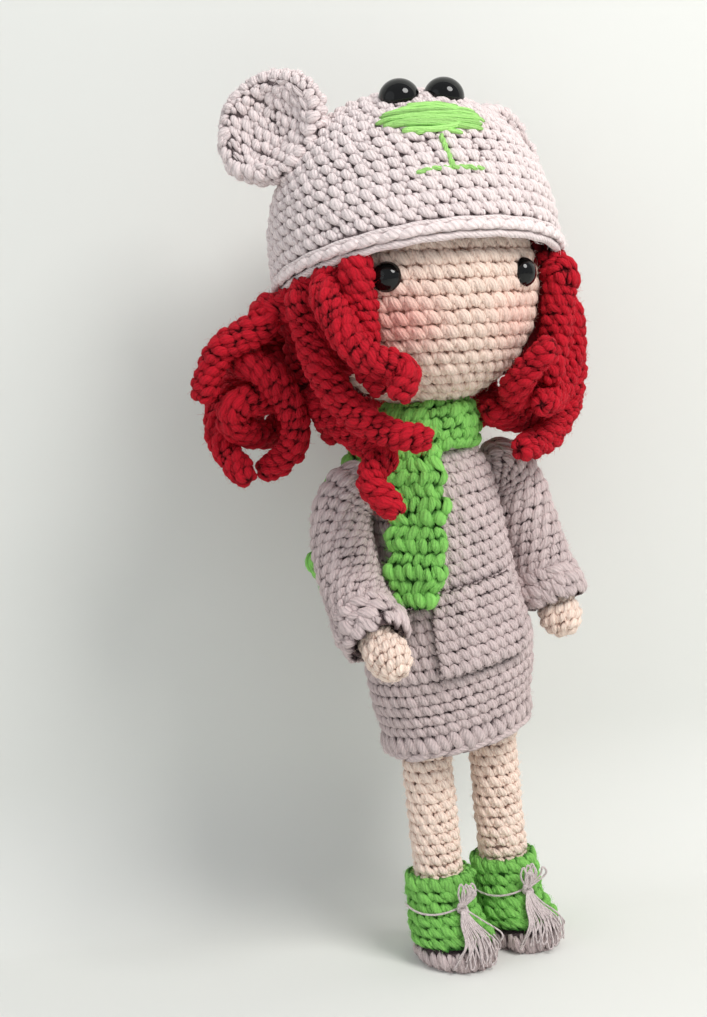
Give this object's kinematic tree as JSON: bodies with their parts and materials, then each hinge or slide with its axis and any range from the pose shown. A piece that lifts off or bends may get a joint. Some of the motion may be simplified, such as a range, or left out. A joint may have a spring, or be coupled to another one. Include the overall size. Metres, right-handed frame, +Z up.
{
  "type": "amigurumi doll",
  "caption": "Crocheted standing doll with a lift-off bear-eared hat, curled yarn hair, scarf, sweater dress, swinging arms and pull-off boots.",
  "frame": {"origin": "ground under the middle of the doll's bounding box, on the plane of the boot soles", "axes": "+Z up along the standing doll, -Y the way its face and toes point, its own right side at -X"},
  "size_m": [0.1314, 0.1064, 0.2867],
  "materials": {
    "peach_yarn": "matte cotton yarn, crocheted",
    "mauve_yarn": "matte cotton yarn, crocheted",
    "pale_mauve_yarn": "matte cotton yarn, crocheted",
    "red_yarn": "matte cotton yarn, crocheted",
    "green_yarn": "matte cotton yarn, crocheted and embroidered",
    "fibrefill": "loose polyester fibre",
    "black_gloss": "polished",
    "clear_washer": "milky moulded"
  },
  "bodies": {
    "doll": {"trunk": "peach_yarn", "sweater": "mauve_yarn", "pocket": "mauve_yarn", "skirt": "mauve_yarn", "leg_right": "peach_yarn", "leg_left": "peach_yarn", "scarf_wrap": "green_yarn"},
    "head": {"head_shell": "peach_yarn", "head_stuffing": "fibrefill", "wig_cap": "red_yarn", "face_eye_right": "black_gloss", "face_eye_left": "black_gloss", "face_eye_washer_right": "clear_washer", "face_eye_washer_left": "clear_washer", "hair_strand_right_1": "red_yarn", "hair_strand_right_2": "red_yarn", "hair_strand_right_3": "red_yarn", "hair_strand_right_4": "red_yarn", "hair_strand_right_5": "red_yarn", "hair_strand_right_6": "red_yarn", "hair_strand_right_7": "red_yarn", "hair_strand_right_8": "red_yarn", "hair_strand_right_9": "red_yarn", "hair_strand_left_1": "red_yarn", "hair_strand_left_2": "red_yarn", "hair_strand_left_3": "red_yarn", "hair_strand_left_4": "red_yarn", "hair_strand_left_5": "red_yarn", "hair_strand_left_6": "red_yarn", "hair_strand_left_7": "red_yarn", "hair_strand_left_8": "red_yarn", "hair_strand_left_9": "red_yarn"},
    "hat": {"hat": "pale_mauve_yarn", "hat_ear_right": "pale_mauve_yarn", "hat_ear_left": "pale_mauve_yarn", "hat_eye_right": "black_gloss", "hat_eye_left": "black_gloss", "hat_eye_washer_right": "clear_washer", "hat_eye_washer_left": "clear_washer", "hat_nose": "green_yarn", "hat_mouth": "green_yarn"},
    "arm_right": {"sleeve_right": "mauve_yarn", "arm_right": "peach_yarn"},
    "arm_left": {"sleeve_left": "mauve_yarn", "arm_left": "peach_yarn"},
    "boot_right": {"boot_sole_right": "mauve_yarn", "boot_upper_right": "green_yarn", "boot_tassel_right": "mauve_yarn"},
    "boot_left": {"boot_sole_left": "mauve_yarn", "boot_upper_left": "green_yarn", "boot_tassel_left": "mauve_yarn"},
    "scarf_front": {"scarf_tail_front": "green_yarn"},
    "scarf_back": {"scarf_tail_back": "green_yarn"}
  },
  "joints": [
    {"name": "head_turn", "type": "hinge", "parent": "doll", "child": "head", "pos_m": [0.00289, -0.0103, 0.17165], "axis": [0.0698, 0, 0.9976], "range_deg": [-15, 15]},
    {"name": "hat_lift", "type": "slide", "parent": "head", "child": "hat", "axis": [0.0674, 0.2588, 0.9636], "range_m": [0, 0.045]},
    {"name": "arm_right_swing", "type": "hinge", "parent": "doll", "child": "arm_right", "pos_m": [-0.01815, -0.0083, 0.15665], "axis": [-1, 0, 0], "range_deg": [-5, 20]},
    {"name": "arm_left_swing", "type": "hinge", "parent": "doll", "child": "arm_left", "pos_m": [0.02393, -0.0083, 0.15665], "axis": [-1, 0, 0], "range_deg": [-15, 30]},
    {"name": "boot_right_pull", "type": "slide", "parent": "doll", "child": "boot_right", "axis": [0, 0, -1], "range_m": [0, 0.024]},
    {"name": "boot_left_pull", "type": "slide", "parent": "doll", "child": "boot_left", "axis": [0, 0, -1], "range_m": [0, 0.024]},
    {"name": "scarf_front_swing", "type": "hinge", "parent": "doll", "child": "scarf_front", "pos_m": [-0.00752, -0.02271, 0.16765], "axis": [-0.6428, -0.766, 0], "range_deg": [0, 7]},
    {"name": "scarf_back_swing", "type": "hinge", "parent": "doll", "child": "scarf_back", "pos_m": [-0.00763, 0.0011, 0.17535], "axis": [1, 0, 0], "range_deg": [0, 15]}
  ]
}
